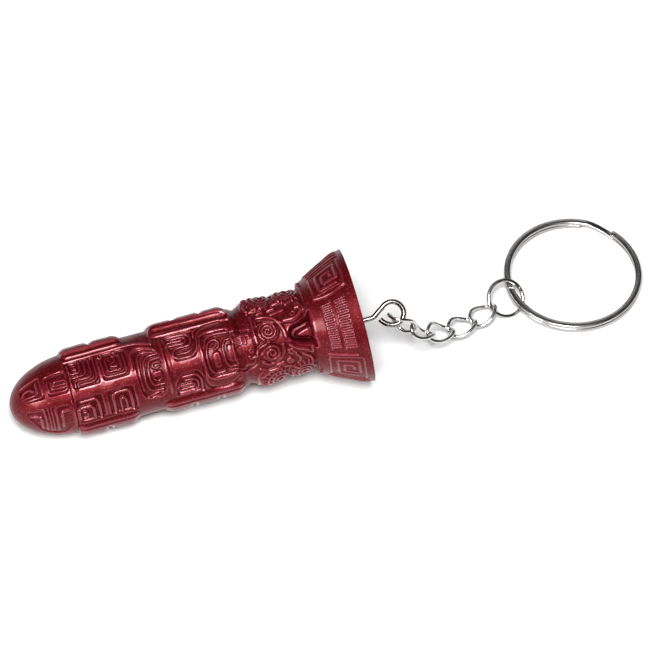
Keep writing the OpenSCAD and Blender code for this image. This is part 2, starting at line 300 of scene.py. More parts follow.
BAND_1_RIDGES = [
    (bent([(15.4, 5.6), (15.4, 1.95), (12.05, 1.85), (12.05, 0.3)], 0.8), RIDGE_W, RIDGE_H),
    (bent([(16.3, 5.6), (16.25, 1.0), (13.0, 0.9)], 1.2), RIDGE_W, RIDGE_H),
    (bent([(14.5, 5.6), (14.5, 2.6), (11.4, 2.45)], 0.9), RIDGE_W, RIDGE_H),
    (bent([(13.65, 5.6), (13.6, 3.25), (11.5, 3.25), (11.5, 5.4), (12.7, 5.45)], 0.7), 0.19, RIDGE_H),
    (bent([(12.8, 4.85), (12.2, 4.85), (12.2, 4.05), (12.9, 4.05)], 0.35), 0.15, RIDGE_H),
    (bent([(17.55, 4.6), (17.6, 0.98), (21.7, 0.98), (21.75, 4.6)], 0.8), RIDGE_W, RIDGE_H),
    (bent([(18.35, 4.2), (18.4, 1.85), (21.0, 1.85), (21.05, 4.9)], 0.6), RIDGE_W, RIDGE_H),
    (ring(20.2, 5.1, 0.45), 0.15, RIDGE_H),
    (bent([(20.1, 4.6), (20.0, 3.5), (19.25, 3.35), (19.2, 2.65), (20.2, 2.6)], 0.4), 0.18, RIDGE_H),
    (ring(17.75, 5.35, 0.35), 0.14, RIDGE_H),
    (bent([(12.2, -2.2), (15.3, -2.1), (15.4, -6.3)], 0.9), 0.3, RIDGE_H),
    (bent([(11.55, -6.2), (11.5, -3.45), (14.2, -3.35), (14.3, -6.1)], 0.8), 0.33, RIDGE_H),
    (bent([(12.3, -4.4), (13.0, -4.4), (13.0, -5.7), (12.2, -5.7)], 0.4), 0.19, RIDGE_H),
    (bent([(18.1, -6.3), (18.1, -2.15), (21.3, -2.05), (21.4, -6.4)], 0.9), 0.32, RIDGE_H),
    (bent([(19.3, -6.2), (19.3, -3.45), (20.3, -3.45), (20.35, -5.8)], 0.6), 0.23, RIDGE_H),
    (bent([(11.1, 6.25), (22.2, 6.4), (24.6, 6.2), (27.2, 5.1)], 1.6), 0.19, 0.22),
    (bent([(11.7, 7.15), (21.9, 7.15)]), 0.16, 0.2),
    (bent([(11.6, 8.3), (22.0, 8.3)]), 0.2, 0.2),
    (bent([(11.9, -6.85), (18.9, -6.85), (22.2, -7.0)]), 0.16, 0.18),
]
CARTOUCHE_1_RIDGES = [
    (bent([(22.75, 1.2), (22.8, 4.0), (24.0, 5.15), (25.8, 4.95), (27.4, 3.7)], 0.9), 0.24, 0.16),
    (bent([(23.85, -3.3), (23.75, 0.0), (24.0, 3.3), (25.0, 3.95), (27.5, 3.3)], 0.8), 0.19, 0.3),
    (bent([(27.7, 2.85), (25.7, 2.85), (24.75, 1.6), (24.55, -1.0), (24.6, -2.6), (25.3, -3.8),
           (27.4, -3.9)], 0.8), 0.2, RIDGE_H),
    (bent([(28.0, 2.05), (26.0, 2.0), (25.45, 0.6), (25.4, -1.6), (25.9, -2.8), (27.8, -2.9)], 0.7),
     0.19, RIDGE_H),
    (bent([(27.9, 1.15), (26.9, 1.45), (26.15, 0.85), (26.7, 0.15), (27.6, 0.45)], 0.6), 0.15, RIDGE_H),
    (bent([(26.2, -1.7), (26.9, -2.15), (27.6, -1.7)], 0.4), 0.15, RIDGE_H),
    (bent([(24.2, -4.85), (25.1, -4.5), (27.2, -4.15), (27.4, -4.5), (26.2, -5.0), (25.0, -5.25)],
          0.4, closed=True), 0.15, RIDGE_H),
    (bent([(28.75, 4.6), (28.75, -5.0)]), 0.26, 0.14),
    (bent([(27.4, 6.6), (27.2, 5.2)]), 0.2, 0.12),
]
BAND_2_RIDGES = [
    (bent([(30.3, 5.5), (33.7, 5.35), (34.4, 4.4), (34.1, 2.8), (31.0, 2.75), (30.35, 1.8),
           (31.0, 0.75), (34.0, 0.7), (34.95, 1.8), (35.3, 3.4)], 0.8), 0.2, RIDGE_H),
    (bent([(29.7, 3.55), (33.0, 3.4), (33.55, 4.1), (33.1, 4.75), (30.9, 4.8)], 0.5), 0.18, RIDGE_H),
    (bent([(30.1, 4.25), (32.6, 4.1)]), 0.15, RIDGE_H),
    (bent([(31.3, 1.6), (33.4, 1.5), (34.2, 2.1)], 0.6), 0.19, RIDGE_H),
    (bent([(31.2, -2.65), (33.7, -2.65), (34.4, -3.7), (34.35, -6.5)], 0.8), 0.26, RIDGE_H),
    (bent([(31.5, -3.4), (33.2, -3.45), (33.75, -4.2), (33.65, -5.7), (32.9, -6.05), (30.2, -5.95)],
          0.6), 0.19, RIDGE_H),
    (bent([(29.8, -4.7), (30.3, -4.3), (32.9, -4.3), (33.0, -5.1), (30.4, -5.15)], 0.35, closed=True),
     0.16, RIDGE_H),
    # A long narrow loop along the foot of the rear upper rail
    (bent([(27.2, 7.5), (27.7, 6.6), (30.0, 6.45), (40.4, 6.35), (42.3, 5.9), (42.2, 7.6),
           (41.0, 8.3), (29.6, 8.9), (28.0, 8.9)], 0.9, closed=True), 0.24, 0.3),
]
CARTOUCHE_2_RIDGES = [
    (bent([(41.0, 4.0), (38.6, 4.55), (36.5, 4.3), (35.6, 3.0), (35.55, -3.0), (36.5, -4.7),
           (38.2, -4.95), (41.0, -4.6)], 1.1), 0.26, 0.14),
    (bent([(41.1, 3.3), (38.4, 3.6), (36.9, 3.2), (36.4, 2.0)], 0.7), 0.19, RIDGE_H),
    (bent([(38.1, 0.75), (38.9, 1.05), (39.0, 2.1), (38.2, 2.65), (37.0, 2.2), (36.35, 0.4),
           (36.4, -2.6), (37.2, -3.8), (38.9, -3.7)], 0.7), 0.2, RIDGE_H),
    (bent([(38.05, 1.85), (37.4, 1.5)]), 0.16, RIDGE_H),
    (bent([(41.3, 2.0), (40.0, 1.95), (39.45, 0.7), (39.5, -2.2), (40.0, -3.1), (41.2, -3.1)], 0.6),
     0.19, RIDGE_H),
    (bent([(39.7, -3.75), (41.1, -3.75)]), 0.16, RIDGE_H),
]
TONGUE_RIDGES = [
    (bent([(41.5, 2.5), (41.5, -2.9)]), 0.17, 0.2),
    (bent([(43.75, 0.3), (43.8, 1.7), (44.5, 1.8), (44.55, 1.2)], 0.35), 0.12, 0.16),
    (ring(44.4, -1.3, 0.3), 0.13, 0.16),
    (bent([(43.8, -2.2), (44.2, -2.8), (44.9, -2.6)], 0.4), 0.12, 0.16),
    (meander(42.0, 43.1, 0.1, 2.1, 3), 0.09, 0.13),
]
NECK_RIDGES = [
    (swirl(48.15, 1.35, 0.25, 1.8, 20, 2.6), 0.18, 0.364),
    (swirl(48.0, -2.75, 0.3, 1.45, 200, 1.7), 0.18, 0.336),
    (bent([(45.3, -2.8), (45.6, -1.4), (46.6, -1.0), (48.0, -0.65)], 0.8), 0.192, 0.336),
    (bent([(46.0, -2.6), (46.5, -1.75), (47.8, -1.35)], 0.6), 0.168, 0.308),
    (bent([(50.3, -1.6), (50.1, -3.4), (49.0, -4.5), (47.3, -5.2), (46.1, -4.2)], 1.3), 0.288, 0.392),
    (bent([(45.8, 5.0), (45.6, 2.0), (45.8, -0.2)], 1.0), 0.288, 0.364),
    (bent([(46.35, 4.3), (46.35, 2.9)]), 0.192, 0.308),
    (bent([(46.9, 4.5), (48.8, 4.1), (50.3, 3.0), (50.9, 1.4), (51.1, -0.4)], 1.6), 0.336, 0.476),
    (bent([(46.9, 3.2), (48.2, 3.45), (49.6, 2.7)], 0.9), 0.168, 0.28),
    (bent([(49.4, 4.4), (50.4, 4.5), (51.8, 4.8)], 0.6), 0.384, 0.42),
    (bent([(50.6, 2.5), (52.0, 2.5), (53.5, 2.4), (55.2, 3.6)], 0.8), 0.432, 0.504),
    (ring(53.4, 3.4, 0.4), 0.216, 0.364),
    (ring(54.6, 5.0, 0.35), 0.36, 0.42),
    (bent([(47.2, 5.5), (48.1, 5.6)]), 0.24, 0.336),
    (bent([(49.2, 5.6), (50.3, 5.7)]), 0.24, 0.336),
    (bent([(48.0, 6.5), (49.3, 6.6)]), 0.24, 0.336),
    (bent([(50.3, 6.8), (51.6, 6.9)]), 0.24, 0.336),
    (bent([(46.6, 6.6), (47.3, 6.7)]), 0.24, 0.28),
    (bent([(51.4, -1.9), (52.4, -2.9), (54.4, -3.7)], 1.0), 0.312, 0.392),
    (ring(51.5, -3.4, 0.3), 0.384, 0.28),
    (bent([(45.4, -7.4), (47.0, -6.3), (50.6, -6.3), (52.2, -7.6)], 1.2), 0.264, 0.28),
    (bent([(53.4, -4.5), (54.8, -5.6), (55.0, -7.6)], 1.0), 0.288, 0.28),
    (ring(50.9, -5.3, 0.45), 0.24, 0.336),
    (bent([(52.2, -4.2), (52.9, -5.0), (52.6, -6.0)], 0.6), 0.24, 0.336),
    (bent([(45.3, -5.6), (46.2, -5.9)]), 0.216, 0.28),
    (bent([(48.4, -5.6), (49.6, -5.4)]), 0.216, 0.308),
    (bent([(52.6, 6.0), (53.6, 6.3)]), 0.216, 0.336),
    (bent([(45.4, 6.2), (45.2, 7.8)]), 0.24, 0.28),
]


def rays(s, a, near, far, count, start=0.0):
    """Short strokes round a middle, from one radius to another, like the barbs of a feather."""
    turn = np.radians(start) + 2 * np.pi * np.arange(count) / count
    return [(np.array([(s + near * np.cos(t), a + near * np.sin(t)),
                       (s + far * np.cos(t), a + far * np.sin(t))]), 0.12, 0.24) for t in turn]


def feathered_lobes(side):
    """A large and a small lobe on one side of the neck: nested circles with barbs round them."""
    large, small = (48.6, side * 9.4), (53.2, side * 9.2)
    rings = [(ring(*large, r), 0.18, 0.24) for r in (0.7, 1.55, 2.4)]
    rings += [(ring(*small, r), 0.17, 0.22) for r in (0.6, 1.35, 2.05)]
    return (rings + rays(*large, 2.75, 3.35, 22) + rays(*large, 1.8, 2.2, 14, 12)
            + rays(*small, 2.4, 2.9, 18, 8))


def base_spiral(a0, a1):
    """A square spiral in a panel of the flared base, between two arcs, wound inwards."""
    w, h = 3.1, a1 - a0
    s, a = 59.0, a0
    return bent([(s + w, a), (s, a), (s, a + h), (s + w + 0.5, a + h), (s + w + 0.5, a + 0.24 * h),
                 (s + 0.32 * w, a + 0.24 * h), (s + 0.32 * w, a + 0.72 * h),
                 (s + 0.84 * w, a + 0.72 * h), (s + 0.84 * w, a + 0.48 * h)], 0.35)


BASE_RIDGES = [
    (bent([(57.7, 3.85), (59.4, 3.5), (61.6, 3.5), (63.5, 3.95)], 0.9), 0.22, 0.26),
    (bent([(57.8, -4.6), (62.5, -4.75)]), 0.2, 0.24),
    (base_spiral(4.6, 7.4), 0.24, 0.2),
    (base_spiral(-8.5, -5.7), 0.24, 0.16),
    (box_line(57.7, 63.5, 4.2, 8.2, 0.3), 0.12, 0.12),
    (box_line(57.7, 63.5, -9.3, -5.1, 0.3), 0.12, 0.12),
    (bent([(57.7, 8.8), (63.8, 8.8)]), 0.16, 0.2),
    (bent([(57.7, 9.7), (63.8, 9.7)]), 0.16, 0.2),
    (bent([(57.7, -9.9), (63.8, -9.9)]), 0.16, 0.2),
    (bent([(57.4, 10.8), (64.0, 10.8)]), 0.2, 0.2),
    (bent([(57.4, -10.8), (64.0, -10.8)]), 0.2, 0.2),
    (meander(58.5, 60.1, -3.9, 2.7, 11), 0.1, 0.17),
    (meander(60.9, 62.8, -3.9, 2.7, 11), 0.1, 0.17),
]
RIDGES = (NOSE_RIDGES + BAND_1_RIDGES + CARTOUCHE_1_RIDGES + BAND_2_RIDGES + CARTOUCHE_2_RIDGES
          + TONGUE_RIDGES + NECK_RIDGES + feathered_lobes(-1) + feathered_lobes(1) + BASE_RIDGES)

# Grooves cut into the plain surface: line, half width, depth
GROOVES = [
    (bent([(11.05, 5.8), (11.05, -7.4)]), 0.14, 0.14),
    (bent([(29.35, 5.6), (29.35, -5.8)]), 0.42, 0.1),
    (bent([(35.3, -1.6), (34.95, -4.8), (35.7, -6.6), (37.4, -7.1), (40.0, -7.1), (41.4, -5.8)], 1.0),
     0.18, 0.24),
    (bent([(34.9, 3.8), (35.6, 5.4), (37.2, 5.9), (40.2, 5.95)], 0.9), 0.18, 0.24),
    (bent([(41.3, 2.9), (43.4, 2.9), (45.0, 2.4)], 0.9), 0.18, 0.24),
    (bent([(41.4, -4.4), (43.2, -5.1), (44.8, -4.2), (45.3, -3.0)], 0.9), 0.2, 0.26),
    # Along the sides and feet of the rails
    (bent([(11.6, 7.72), (22.0, 7.72)]), 0.14, 0.14),
    (bent([(11.4, 9.05), (22.2, 9.05)]), 0.22, 0.22),
    (bent([(28.3, 7.7), (41.2, 7.35)]), 0.34, 0.3),
    (bent([(27.6, 9.7), (41.6, 9.1)]), 0.2, 0.2),
    (bent([(11.4, -8.2), (22.2, -8.2)]), 0.18, 0.14),
    (bent([(27.6, -8.3), (41.8, -8.3)]), 0.2, 0.16),
]
# Pads that fill a recess up again: outline and height
PADS = [
    (box_line(26.0, 27.9, -1.5, -0.1, 0.45), 0.3),
    (box_line(37.3, 38.9, -2.9, 0.45, 0.7), 0.34),
    (box_line(40.1, 41.5, -2.5, 1.1, 0.6), 0.34),
    (ring(48.15, 1.35, 2.25), 0.34),
    (ring(48.0, -2.75, 1.95), 0.32),
    (bent([(50.6, 2.0), (51.6, 3.6), (55.6, 4.6), (55.6, 2.6), (53.0, 1.6)], 0.6, closed=True), 0.3),
    (bent([(50.8, -1.6), (51.6, -3.8), (55.6, -5.2), (55.6, -3.2), (52.6, -2.0)], 0.6, closed=True), 0.26),
    (box_line(44.3, 50.0, 6.0, 13.0, 2.2), 0.26),
    (box_line(44.3, 50.0, -13.0, -5.9, 2.2), 0.26),
    (box_line(50.6, 55.2, 6.2, 13.0, 1.9), 0.2),
    (box_line(50.6, 55.2, -13.0, -6.2, 1.9), 0.2),
]
# How far in from its outline a pad reaches its height
PAD_SOFT = 0.35
# The pad that bridges the waist in front, and how far it stays under the barrel
BRIDGE = box_line(41.2, 45.6, -4.5, 2.7, 1.4)
BRIDGE_SINK = 0.15
# The open mouth in the neck, its depth, and the tongue in it
MOUTH = bent([(51.5, 0.2), (52.2, 1.5), (54.2, 2.0), (56.4, 3.2), (56.4, -3.7), (54.0, -2.9),
              (52.0, -1.9), (51.4, -0.8)], 0.7, closed=True)
MOUTH_DEPTH = 1.9
MOUTH_TONGUE = bent([(52.7, -0.2), (53.2, 0.35), (56.4, 1.3), (56.4, -2.4), (53.4, -1.8), (52.6, -1.2)],
                    0.5, closed=True)

# Side rails: first and last station, and the notches between their bumps
RAILS = [(10.7, 22.4, [16.6]), (27.0, 42.1, [32.4, 37.4])]
RAIL_HEIGHT = 0.84
# The arc at which a rail starts, how far in it reaches its height, and the notches' depth
RAIL_FOOT = 7.0
RAIL_SOFT = 1.9
NOTCH_DEPTH = 0.42
# Swells at the sides of the neck: station, arc, height, and half length
SWELLS = [(46.3, 9.9, 0.6, 2.6), (52.4, 9.4, 0.32, 2.1)]
SWELL_ARC = 3.2
# Scallops along the same sides: height, pitch, first and last station, and first arc
SCALLOP_H = 0.2
SCALLOP_PITCH = 1.25
SCALLOP_REACH = (45.0, 55.5)
SCALLOP_ARC = 8.5
# The tip and the rim stay plain; on the nose, nothing stands above the turned shape
TIP_PLAIN = 1.2
RIM_PLAIN = 64.6
NOSE_SUNK = NOSE_LEN - 1.5


def turned_radius(s):
    """The plain turned body: an ellipse for the nose, then straight runs between stations that
    are rounded over by averaging with the neighbours."""
    outline = np.array([
        (0, BARREL_R), (42.3, BARREL_R), (43.3, 6.6), (44.5, 6.9), (50.0, 6.95), (55.4, 6.95),
        (55.75, 8.3), (56.4, 8.55), (57.6, 9.2), (60.4, 10.6), (62.8, 11.72), (PENDANT_LEN, BASE_R)])
    reach = 0.24
    spread = np.linspace(-reach, reach, 13)
    weight = np.cos(spread / reach * np.pi / 2) + 0.02
    body = np.interp(np.minimum(s[..., None] + spread, 2 * PENDANT_LEN - s[..., None] - spread),
                     outline[:, 0], outline[:, 1])
    body = (body * weight).sum(-1) / weight.sum()
    nose = BARREL_R * np.sqrt(np.clip(1 - ((NOSE_LEN - s) / NOSE_REACH) ** 2, 0, 1))
    return np.minimum(np.where(s < NOSE_LEN, nose, body), BASE_R)


def stroke_on(height, line, half_width, amount, s, a, squeeze):
    """Lays one line on a height grid, only where the grid is near it, and keeps the higher of the
    two. Across the line the height is a bead: one less the square of the distance over
    half_width + EDGE, to the power 0.8. Arcs get twice the margin, as they shrink on the nose."""
    near = half_width + EDGE + 0.05
    low, high = line.min(0) - near, line.max(0) + near
    low[1] -= near
    high[1] += near
    rows = np.flatnonzero((s[:, 0] >= low[0]) & (s[:, 0] <= high[0]))
    columns = np.flatnonzero((a[0] >= low[1]) & (a[0] <= high[1]))
    if len(rows) == 0 or len(columns) == 0:
        return
    block = np.ix_(rows, columns)
    flat = [x[block].ravel() for x in (s, a, squeeze)]
    share = np.clip(1 - (line_distance(line, *flat) / (half_width + EDGE)) ** 2, 0, 1) ** 0.8
    bead = amount * share.reshape(len(rows), len(columns))
    height[block] = np.maximum(height[block], bead)


def beads(lines, s, a, squeeze):
    """A height grid of several lines, each with its half width and height."""
    height = np.zeros_like(s)
    for line, half_width, amount in lines:
        stroke_on(height, line, half_width, amount, s, a, squeeze)
    return height


def straight(x):
    """x kept between 0 and 1."""
    return np.clip(x, 0, 1)


def area_on(height, line, amount, soft, s, a, squeeze, rise=ease):
    """Adds amount inside a closed outline, rising from nothing at the outline to all of it at
    soft inside, by the rise function."""
    low, high = line.min(0), line.max(0)
    rows = np.flatnonzero((s[:, 0] >= low[0]) & (s[:, 0] <= high[0]))
    columns = np.flatnonzero((a[0] >= low[1]) & (a[0] <= high[1]))
    if len(rows) == 0 or len(columns) == 0:
        return
    block = np.ix_(rows, columns)
    flat = [x[block].ravel() for x in (s, a, squeeze)]
    share = rise(line_distance(line, *flat) / soft) * inside(line, flat[0], flat[1])
    height[block] += amount * share.reshape(len(rows), len(columns))


def rail_height(s, a, squeeze):
    """The side rails: a bar with rounded corners and shoulders about the arc of each rail, one
    less (1 - x)^2.4 from its outline inwards, with a soft notch between bumps."""
    off = QUARTER_GIRTH - np.abs(a)
    height = np.zeros_like(s)
    for start, end, notches in RAILS:
        for near, far in ((RAIL_FOOT, 2 * QUARTER_GIRTH - RAIL_FOOT),
                          (RAIL_FOOT - 2 * QUARTER_GIRTH, -RAIL_FOOT)):
            bar = np.zeros_like(s)
            outline = box_line(start, end, near, far, 1.5)
            area_on(bar, outline, 1.0, RAIL_SOFT, s, a, squeeze, straight)
            height += RAIL_HEIGHT * (1 - (1 - bar) ** 2.4)
        notch = sum(np.exp(-((s - n) / 0.36) ** 2) for n in notches) * ease((2.7 - off) / 0.9)
        height -= NOTCH_DEPTH * notch
    return height


def uneven(s, a):
    """Slow waves of a hand-finished casting, a few hundredths of a millimetre."""
    turn = a / QUARTER_GIRTH * np.pi
    return 0.018 * (np.sin(0.9 * s + 2 * np.sin(2 * turn)) + np.sin(1.7 * s - 2 * turn + 1.3)
                    + 0.6 * np.sin(4 * turn + 0.6 * s))


def neck_sides(s, a):
    """The sides of the neck: bell curves for the swells, and scallops that are the absolute value
    of a sine along the axis."""
    arc = np.abs(a)
    swells = sum(lift * np.exp(-((s - middle) / wide) ** 2 - ((arc - side) / SWELL_ARC) ** 2)
                 for middle, side, lift, wide in SWELLS)
    first, last = SCALLOP_REACH
    scallop = SCALLOP_H * np.abs(np.sin(np.pi * s / SCALLOP_PITCH))
    scallop *= ease((s - first) / 0.8) * ease((last - s) / 0.8) * ease((arc - SCALLOP_ARC) / 1.5)
    return swells + scallop


def carving(s, a, squeeze):
    """Height of the surface over the plain turned body."""
    ground = np.zeros_like(s)
    for outline, depth, soft in FIELDS:
        area_on(ground, outline, -depth, soft, s, a, squeeze)
    ground = np.maximum(ground, -FIELD_DEPTH)
    for outline, lift in PADS:
        area_on(ground, outline, lift, PAD_SOFT, s, a, squeeze)
    height = ground + beads(RIDGES, s, a, squeeze) - beads(GROOVES, s, a, squeeze)
    height += rail_height(s, a, squeeze) + uneven(s, a) + neck_sides(s, a)
    bridge = np.zeros_like(s)
    area_on(bridge, BRIDGE, 1.0, 0.7, s, a, squeeze)
    height += bridge * (BARREL_R - BRIDGE_SINK - turned_radius(s))
    mouth = np.zeros_like(s)
    area_on(mouth, MOUTH, -MOUTH_DEPTH, 0.8, s, a, squeeze)
    area_on(mouth, MOUTH_TONGUE, MOUTH_DEPTH * 0.8, 0.9, s, a, squeeze)
    plain = ease((RIM_PLAIN - s) / 0.9) * ease((s - TIP_PLAIN) / 1.2)
    return np.minimum(height * plain + mouth, np.where(s < NOSE_SUNK, 0.0, np.inf))


def soften(grid, cells):
    """The grid averaged over a few cells each way, which a cosine window weights. Columns wrap."""
    window = np.cos(np.linspace(-1, 1, 2 * cells + 1) * np.pi / 2 * 0.98)
    window /= window.sum()
    out = sum(w * np.roll(grid, k - cells, 1) for k, w in enumerate(window))
    padded = np.pad(out, ((cells, cells), (0, 0)), mode="edge")
    return sum(w * padded[k:k + len(grid)] for k, w in enumerate(window))


def surface_point(s, angle, r):
    """A point at station s, turned from the front towards the upper rail, r from the axis."""
    out = np.cos(angle)[..., None] * FRONT + np.sin(angle)[..., None] * RAIL
    return BASE_CENTRE + (s - PENDANT_LEN)[..., None] * AXIS + r[..., None] * out


def carved_piece(name, stations, columns):
    """One closed length of the pendant: the turned radius plus the carving, on a grid of
    stations and angles, with a flat disc at each end. recess is how far a point lies below the
    average of its neighbourhood. Nothing reaches below the floor: where the pendant rests on it,
    the radius is at most the axis's height over it divided by how steeply the point faces it."""
    half = columns // 2
    arc = (np.arange(half) / half - 0.5) * 2 * QUARTER_GIRTH
    s, a = np.meshgrid(stations, arc, indexing="ij")
    base = turned_radius(s)
    squeeze = np.maximum(base, 0.5) / BARREL_R
    height = np.tile(carving(s, a, squeeze), (1, 2))
    angle = np.concatenate([arc, arc + 2 * QUARTER_GIRTH]) / BARREL_R
    s, angle = np.meshgrid(stations, angle, indexing="ij")
    radius = np.clip(np.tile(base, (1, 2)) + height, 0.0, BASE_R)
    rise = (BASE_CENTRE + (stations[:, None] - PENDANT_LEN) * AXIS)[:, 2:]
    fall = -(np.cos(angle[0]) * FRONT[2] + np.sin(angle[0]) * RAIL[2])
    room = (rise - FLOOR_GAP) / np.maximum(fall, 0.1)
    radius = np.where(fall > 0.1, np.minimum(radius, room), radius)
    points = surface_point(s, angle, radius).reshape(-1, 3)
    ends = BASE_CENTRE + (np.array([stations[0], stations[-1]]) - PENDANT_LEN)[:, None] * AXIS
    faces = grid_faces(len(stations), columns)
    level = 0.35
    # hollow is read by the crimson paint to lay painted shade in the hollows and a painted highlight on
    # the crests
    hollow = np.clip((soften(height, 6) - height) / 0.22 + level, 0, 1)
    recess = np.concatenate([hollow.ravel(), [level, level]])
    sharp = faces[:, 3] < 0
    if stations[0] < 0.1:  # the nose's tip is round, so its first fan stays smooth
        sharp[-2 * columns:-columns] = False
    piece = make_piece(name, np.concatenate([points, ends]), faces, sharp, recess)
    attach(piece, "pendant")
    return piece


def even(start, end, step=0.095):
    """Evenly spaced stations, no further apart than step."""
    return np.linspace(start, end, int(np.ceil((end - start) / step)) + 1)


# Where one length ends and the next begins: in a groove, beside a band, at the waist, and
# under the base
NOSE_END, FRONT_END, WAIST, NECK_END = 11.05, 28.3, 43.3, 55.6
# Stations crowd towards the tip as the cosine of an even turn, and are even after the cap
CAP = 2.0
cap_turn = np.linspace(0.006, np.arccos((NOSE_LEN - CAP) / NOSE_REACH), 26)
nose_stations = np.concatenate([NOSE_LEN - NOSE_REACH * np.cos(cap_turn), even(CAP, NOSE_END)[1:]])
PENDANT_PIECES = [
    carved_piece("pendant_nose", nose_stations, 512),
    carved_piece("pendant_front_barrel", even(NOSE_END, FRONT_END, 0.098), 512),
    carved_piece("pendant_rear_barrel", even(FRONT_END, WAIST), 512),
    carved_piece("pendant_neck", even(WAIST, NECK_END), 560),
    carved_piece("pendant_base", even(NECK_END, PENDANT_LEN, 0.1), 800),
]
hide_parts("pendant")


# ---------------------------------------------------------------- the screw eye
EYE_WIRE = 0.95
EYE_LOOP_R = 2.1
EYE_CENTRE = np.array([6.3, -1.4])
EYE_OFFSET = 1.3
EYE_BEND = np.radians(34.7)
EYE_BEND_R = 1.3
EYE_TIP_R = 3.0
EYE_TIP_START = 250.0
EYE_TIP_END = 205.0
EYE_BURIED = 3.0


def arc_points(middle, r, start, end, count):
    """Points on a circle in the eye's plane, from one angle in degrees to another."""
    turn = np.radians(np.linspace(start, end, count))
    return np.asarray(middle) + r * np.stack([np.cos(turn), np.sin(turn)], 1)


def screw_eye():
    """The eye's wire: straight out of the base, a bend, a straight rise, most of a circle and a
    wider curl at its cut end."""
    touch_angle = np.pi / 2 + EYE_BEND
    touch = EYE_CENTRE + EYE_LOOP_R * np.array([np.cos(touch_angle), np.sin(touch_angle)])
    corner = touch[0] - (touch[1] + EYE_OFFSET) / np.tan(EYE_BEND)
    bend_middle = (corner - EYE_BEND_R * np.tan(EYE_BEND / 2), EYE_BEND_R - EYE_OFFSET)
    bend = arc_points(bend_middle, EYE_BEND_R, -90, -90 + np.degrees(EYE_BEND), 10)
    run = np.linspace([-EYE_BURIED, -EYE_OFFSET], bend[0], 12)[:-1]
    rise = np.linspace(bend[-1], touch, 8)[1:-1]
    loop = arc_points(EYE_CENTRE, EYE_LOOP_R, np.degrees(touch_angle), EYE_TIP_START - 360, 70)
    tip_turn = np.radians(EYE_TIP_START)
    tip_middle = EYE_CENTRE + (EYE_LOOP_R - EYE_TIP_R) * np.array([np.cos(tip_turn), np.sin(tip_turn)])
    tip = arc_points(tip_middle, EYE_TIP_R, EYE_TIP_START, EYE_TIP_END, 22)[1:]
    flat = np.concatenate([run, bend, rise, loop, tip])
    path = BASE_CENTRE + flat[:, :1] * AXIS + flat[:, 1:] * RAIL
    path, radii = rounded_ends(path, EYE_WIRE / 2, 0.09)
    piece = tube("screw_eye_wire", path, FRONT, radii, 32)
    return stand_for(piece, "screw_eye", "pendant")


# ---------------------------------------------------------------- the links
LINK_WIRE = 0.62
LINK_LEN = 5.7
LINK_W = 4.0
LINK_TWIST = np.radians(-75.0)
# Heading, rise and roll of each link, and the joint at whose pivot its far end is
LINKS = [(-28, -34, -36), (16, -45, 33), (16, -25, 44), (18, -10, 38), (32, -3, 32)]
PIVOTS = {joint["child"]: np.array(joint["pos_m"]) / MM for joint in frame["joints"]}


def chain_link(i):
    """A twisted link: an ellipse from its first end to its far end, whose width turns evenly
    about its length: along it (1 - cos t) / 2, across it sin t, rolled by the share gone along."""
    turn, rise, roll = np.radians(LINKS[i])
    along = np.array([np.cos(rise) * np.cos(turn), np.cos(rise) * np.sin(turn), np.sin(rise)])
    level = unit(np.cross([0, 0, 1], along))
    top = np.cross(along, level)
    next_body = f"chain_link_{i + 2}" if i + 1 < len(LINKS) else "jump_ring"
    first_end = PIVOTS[next_body] - LINK_LEN * along
    t = np.linspace(0, 2 * np.pi, 160, endpoint=False)
    gone = (1 - np.cos(t)) / 2
    rolled = (roll + LINK_TWIST * gone)[:, None]
    width = np.cos(rolled) * level + np.sin(rolled) * top
    path = first_end + (gone * LINK_LEN)[:, None] * along + (np.sin(t) * LINK_W / 2)[:, None] * width
    face = np.cos(rolled) * top - np.sin(rolled) * level
    name = f"chain_link_{i + 1}"
    piece = tube(name + "_wire", path, face, LINK_WIRE / 2, 20, closed=True)
    return stand_for(piece, name, name)


# ---------------------------------------------------------------- the jump ring
JUMP_WIRE = 0.7
JUMP_R = 3.3
JUMP_GAP = 0.08
JUMP_LEAN = np.radians(36.0)
JUMP_LEAN_TURN = np.radians(-70.0)
JUMP_GAP_TURN = np.radians(100.0)


def leaned(lean, turn):
    """Directions of a plane leaned from level: downhill, level, and square to it."""
    cl, sl, ct, st = np.cos(lean), np.sin(lean), np.cos(turn), np.sin(turn)
    return np.array([cl * ct, cl * st, -sl]), np.array([-st, ct, 0.0]), np.array([sl * ct, sl * st, cl])


def jump_ring():
    """A circle of wire with its two ends butted."""
    low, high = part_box("jump_ring")
    centre = np.array((low + high) / 2) / MM
    centre[2] = JUMP_R * np.sin(JUMP_LEAN) + JUMP_WIRE / 2
    downhill, level, normal = leaned(JUMP_LEAN, JUMP_LEAN_TURN)
    gap = 2 * np.arcsin(JUMP_GAP / 2 / JUMP_R)
    turn = JUMP_GAP_TURN + np.linspace(0, 2 * np.pi - gap, 150)
    path = centre + JUMP_R * (np.cos(turn)[:, None] * downhill + np.sin(turn)[:, None] * level)
    path, radii = rounded_ends(path, JUMP_WIRE / 2, 0.06)
    piece = tube("jump_ring_wire", path, normal, radii, 26)
    return stand_for(piece, "jump_ring", "jump_ring")


# ---------------------------------------------------------------- the split ring
SPLIT_R = 12.5
SPLIT_W = 1.15
COIL_H = 0.74
COIL_GAP = 0.05
SPLIT_LEAN = np.radians(3.2)
SPLIT_LEAN_TURN = np.radians(10.7)
JOG_TURN = np.radians(56.0)
JOG_SPAN = np.radians(24.0)
JOG_CLEAR = np.radians(2.0)


